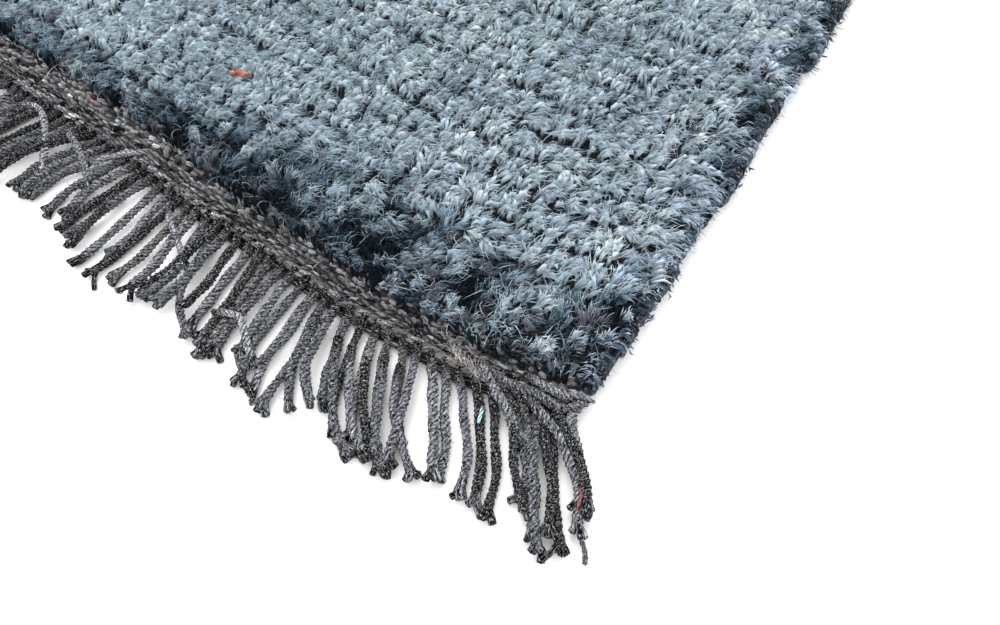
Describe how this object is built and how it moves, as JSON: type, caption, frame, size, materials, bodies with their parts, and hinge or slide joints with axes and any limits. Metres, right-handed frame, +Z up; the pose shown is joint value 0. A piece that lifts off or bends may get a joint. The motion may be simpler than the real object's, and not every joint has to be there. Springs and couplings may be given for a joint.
{
  "type": "nepalese rug",
  "caption": "Small hand-knotted wool rug with a dense cut pile, overcast sides, twined end braids and a plied cord fringe at both ends, lying flat on the floor.",
  "frame": {"origin": "centre of the rug's bounding box, on the floor", "axes": "+X across the rug along the weft, +Y along the warp and the fringe, +Z up out of the pile"},
  "size_m": [0.6426, 0.8922, 0.016],
  "materials": {
    "pile_wool": "blue-grey handspun wool, cut pile, matt with a slight sheen at the tips",
    "overcast_wool": "dark blue-grey wool yarn wound over the side cord",
    "braid_yarn": "charcoal grey-brown heathered yarn, twined, matt",
    "fringe_cord": "charcoal heathered yarn, plied into cords with pale flecks, matt"
  },
  "bodies": {
    "root": {"rug_body": "pile_wool", "selvedge_right": "overcast_wool", "selvedge_left": "overcast_wool", "end_braid_front": "braid_yarn", "end_braid_back": "braid_yarn", "fringe_front": "fringe_cord", "fringe_back": "fringe_cord"}
  },
  "joints": []
}
